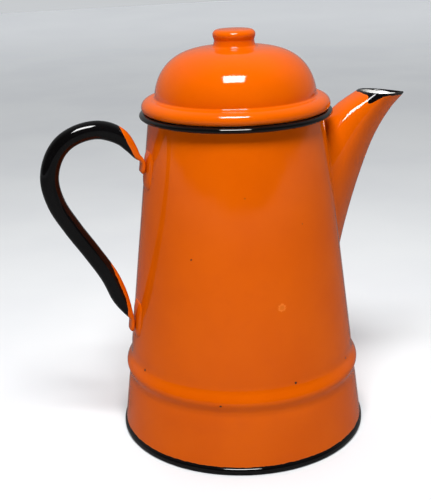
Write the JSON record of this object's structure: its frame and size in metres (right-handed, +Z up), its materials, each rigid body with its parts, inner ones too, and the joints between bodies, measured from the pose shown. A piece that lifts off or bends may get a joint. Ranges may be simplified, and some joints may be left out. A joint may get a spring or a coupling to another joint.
{
  "type": "coffee pot",
  "caption": "Tall tapered enamelled coffee pot with a hollow tube handle, a keeled pouring spout, a rolled rim and a domed lift-off lid with a round knob.",
  "frame": {"origin": "centre of the flat underside, on the pot's axis", "axes": "+Z up along the pot's axis, +X towards the spout, the handle on -X"},
  "size_m": [0.2214, 0.15, 0.2415],
  "materials": {
    "orange_enamel": "gloss",
    "black_enamel": "gloss",
    "white_enamel": "gloss"
  },
  "bodies": {
    "pot": {"pot_wall": "orange_enamel", "rim_roll": "black_enamel", "base_pan": "black_enamel", "spout_shell": "orange_enamel", "handle_tube": "black_enamel", "handle_plate_upper": "orange_enamel", "handle_plate_lower": "orange_enamel"},
    "lid": {"lid_dome": "orange_enamel", "lid_collar": "white_enamel", "lid_knob": "orange_enamel"}
  },
  "joints": [
    {"name": "lid_lift", "type": "slide", "parent": "pot", "child": "lid", "axis": [0, 0, 1], "range_m": [0, 0.13]}
  ]
}
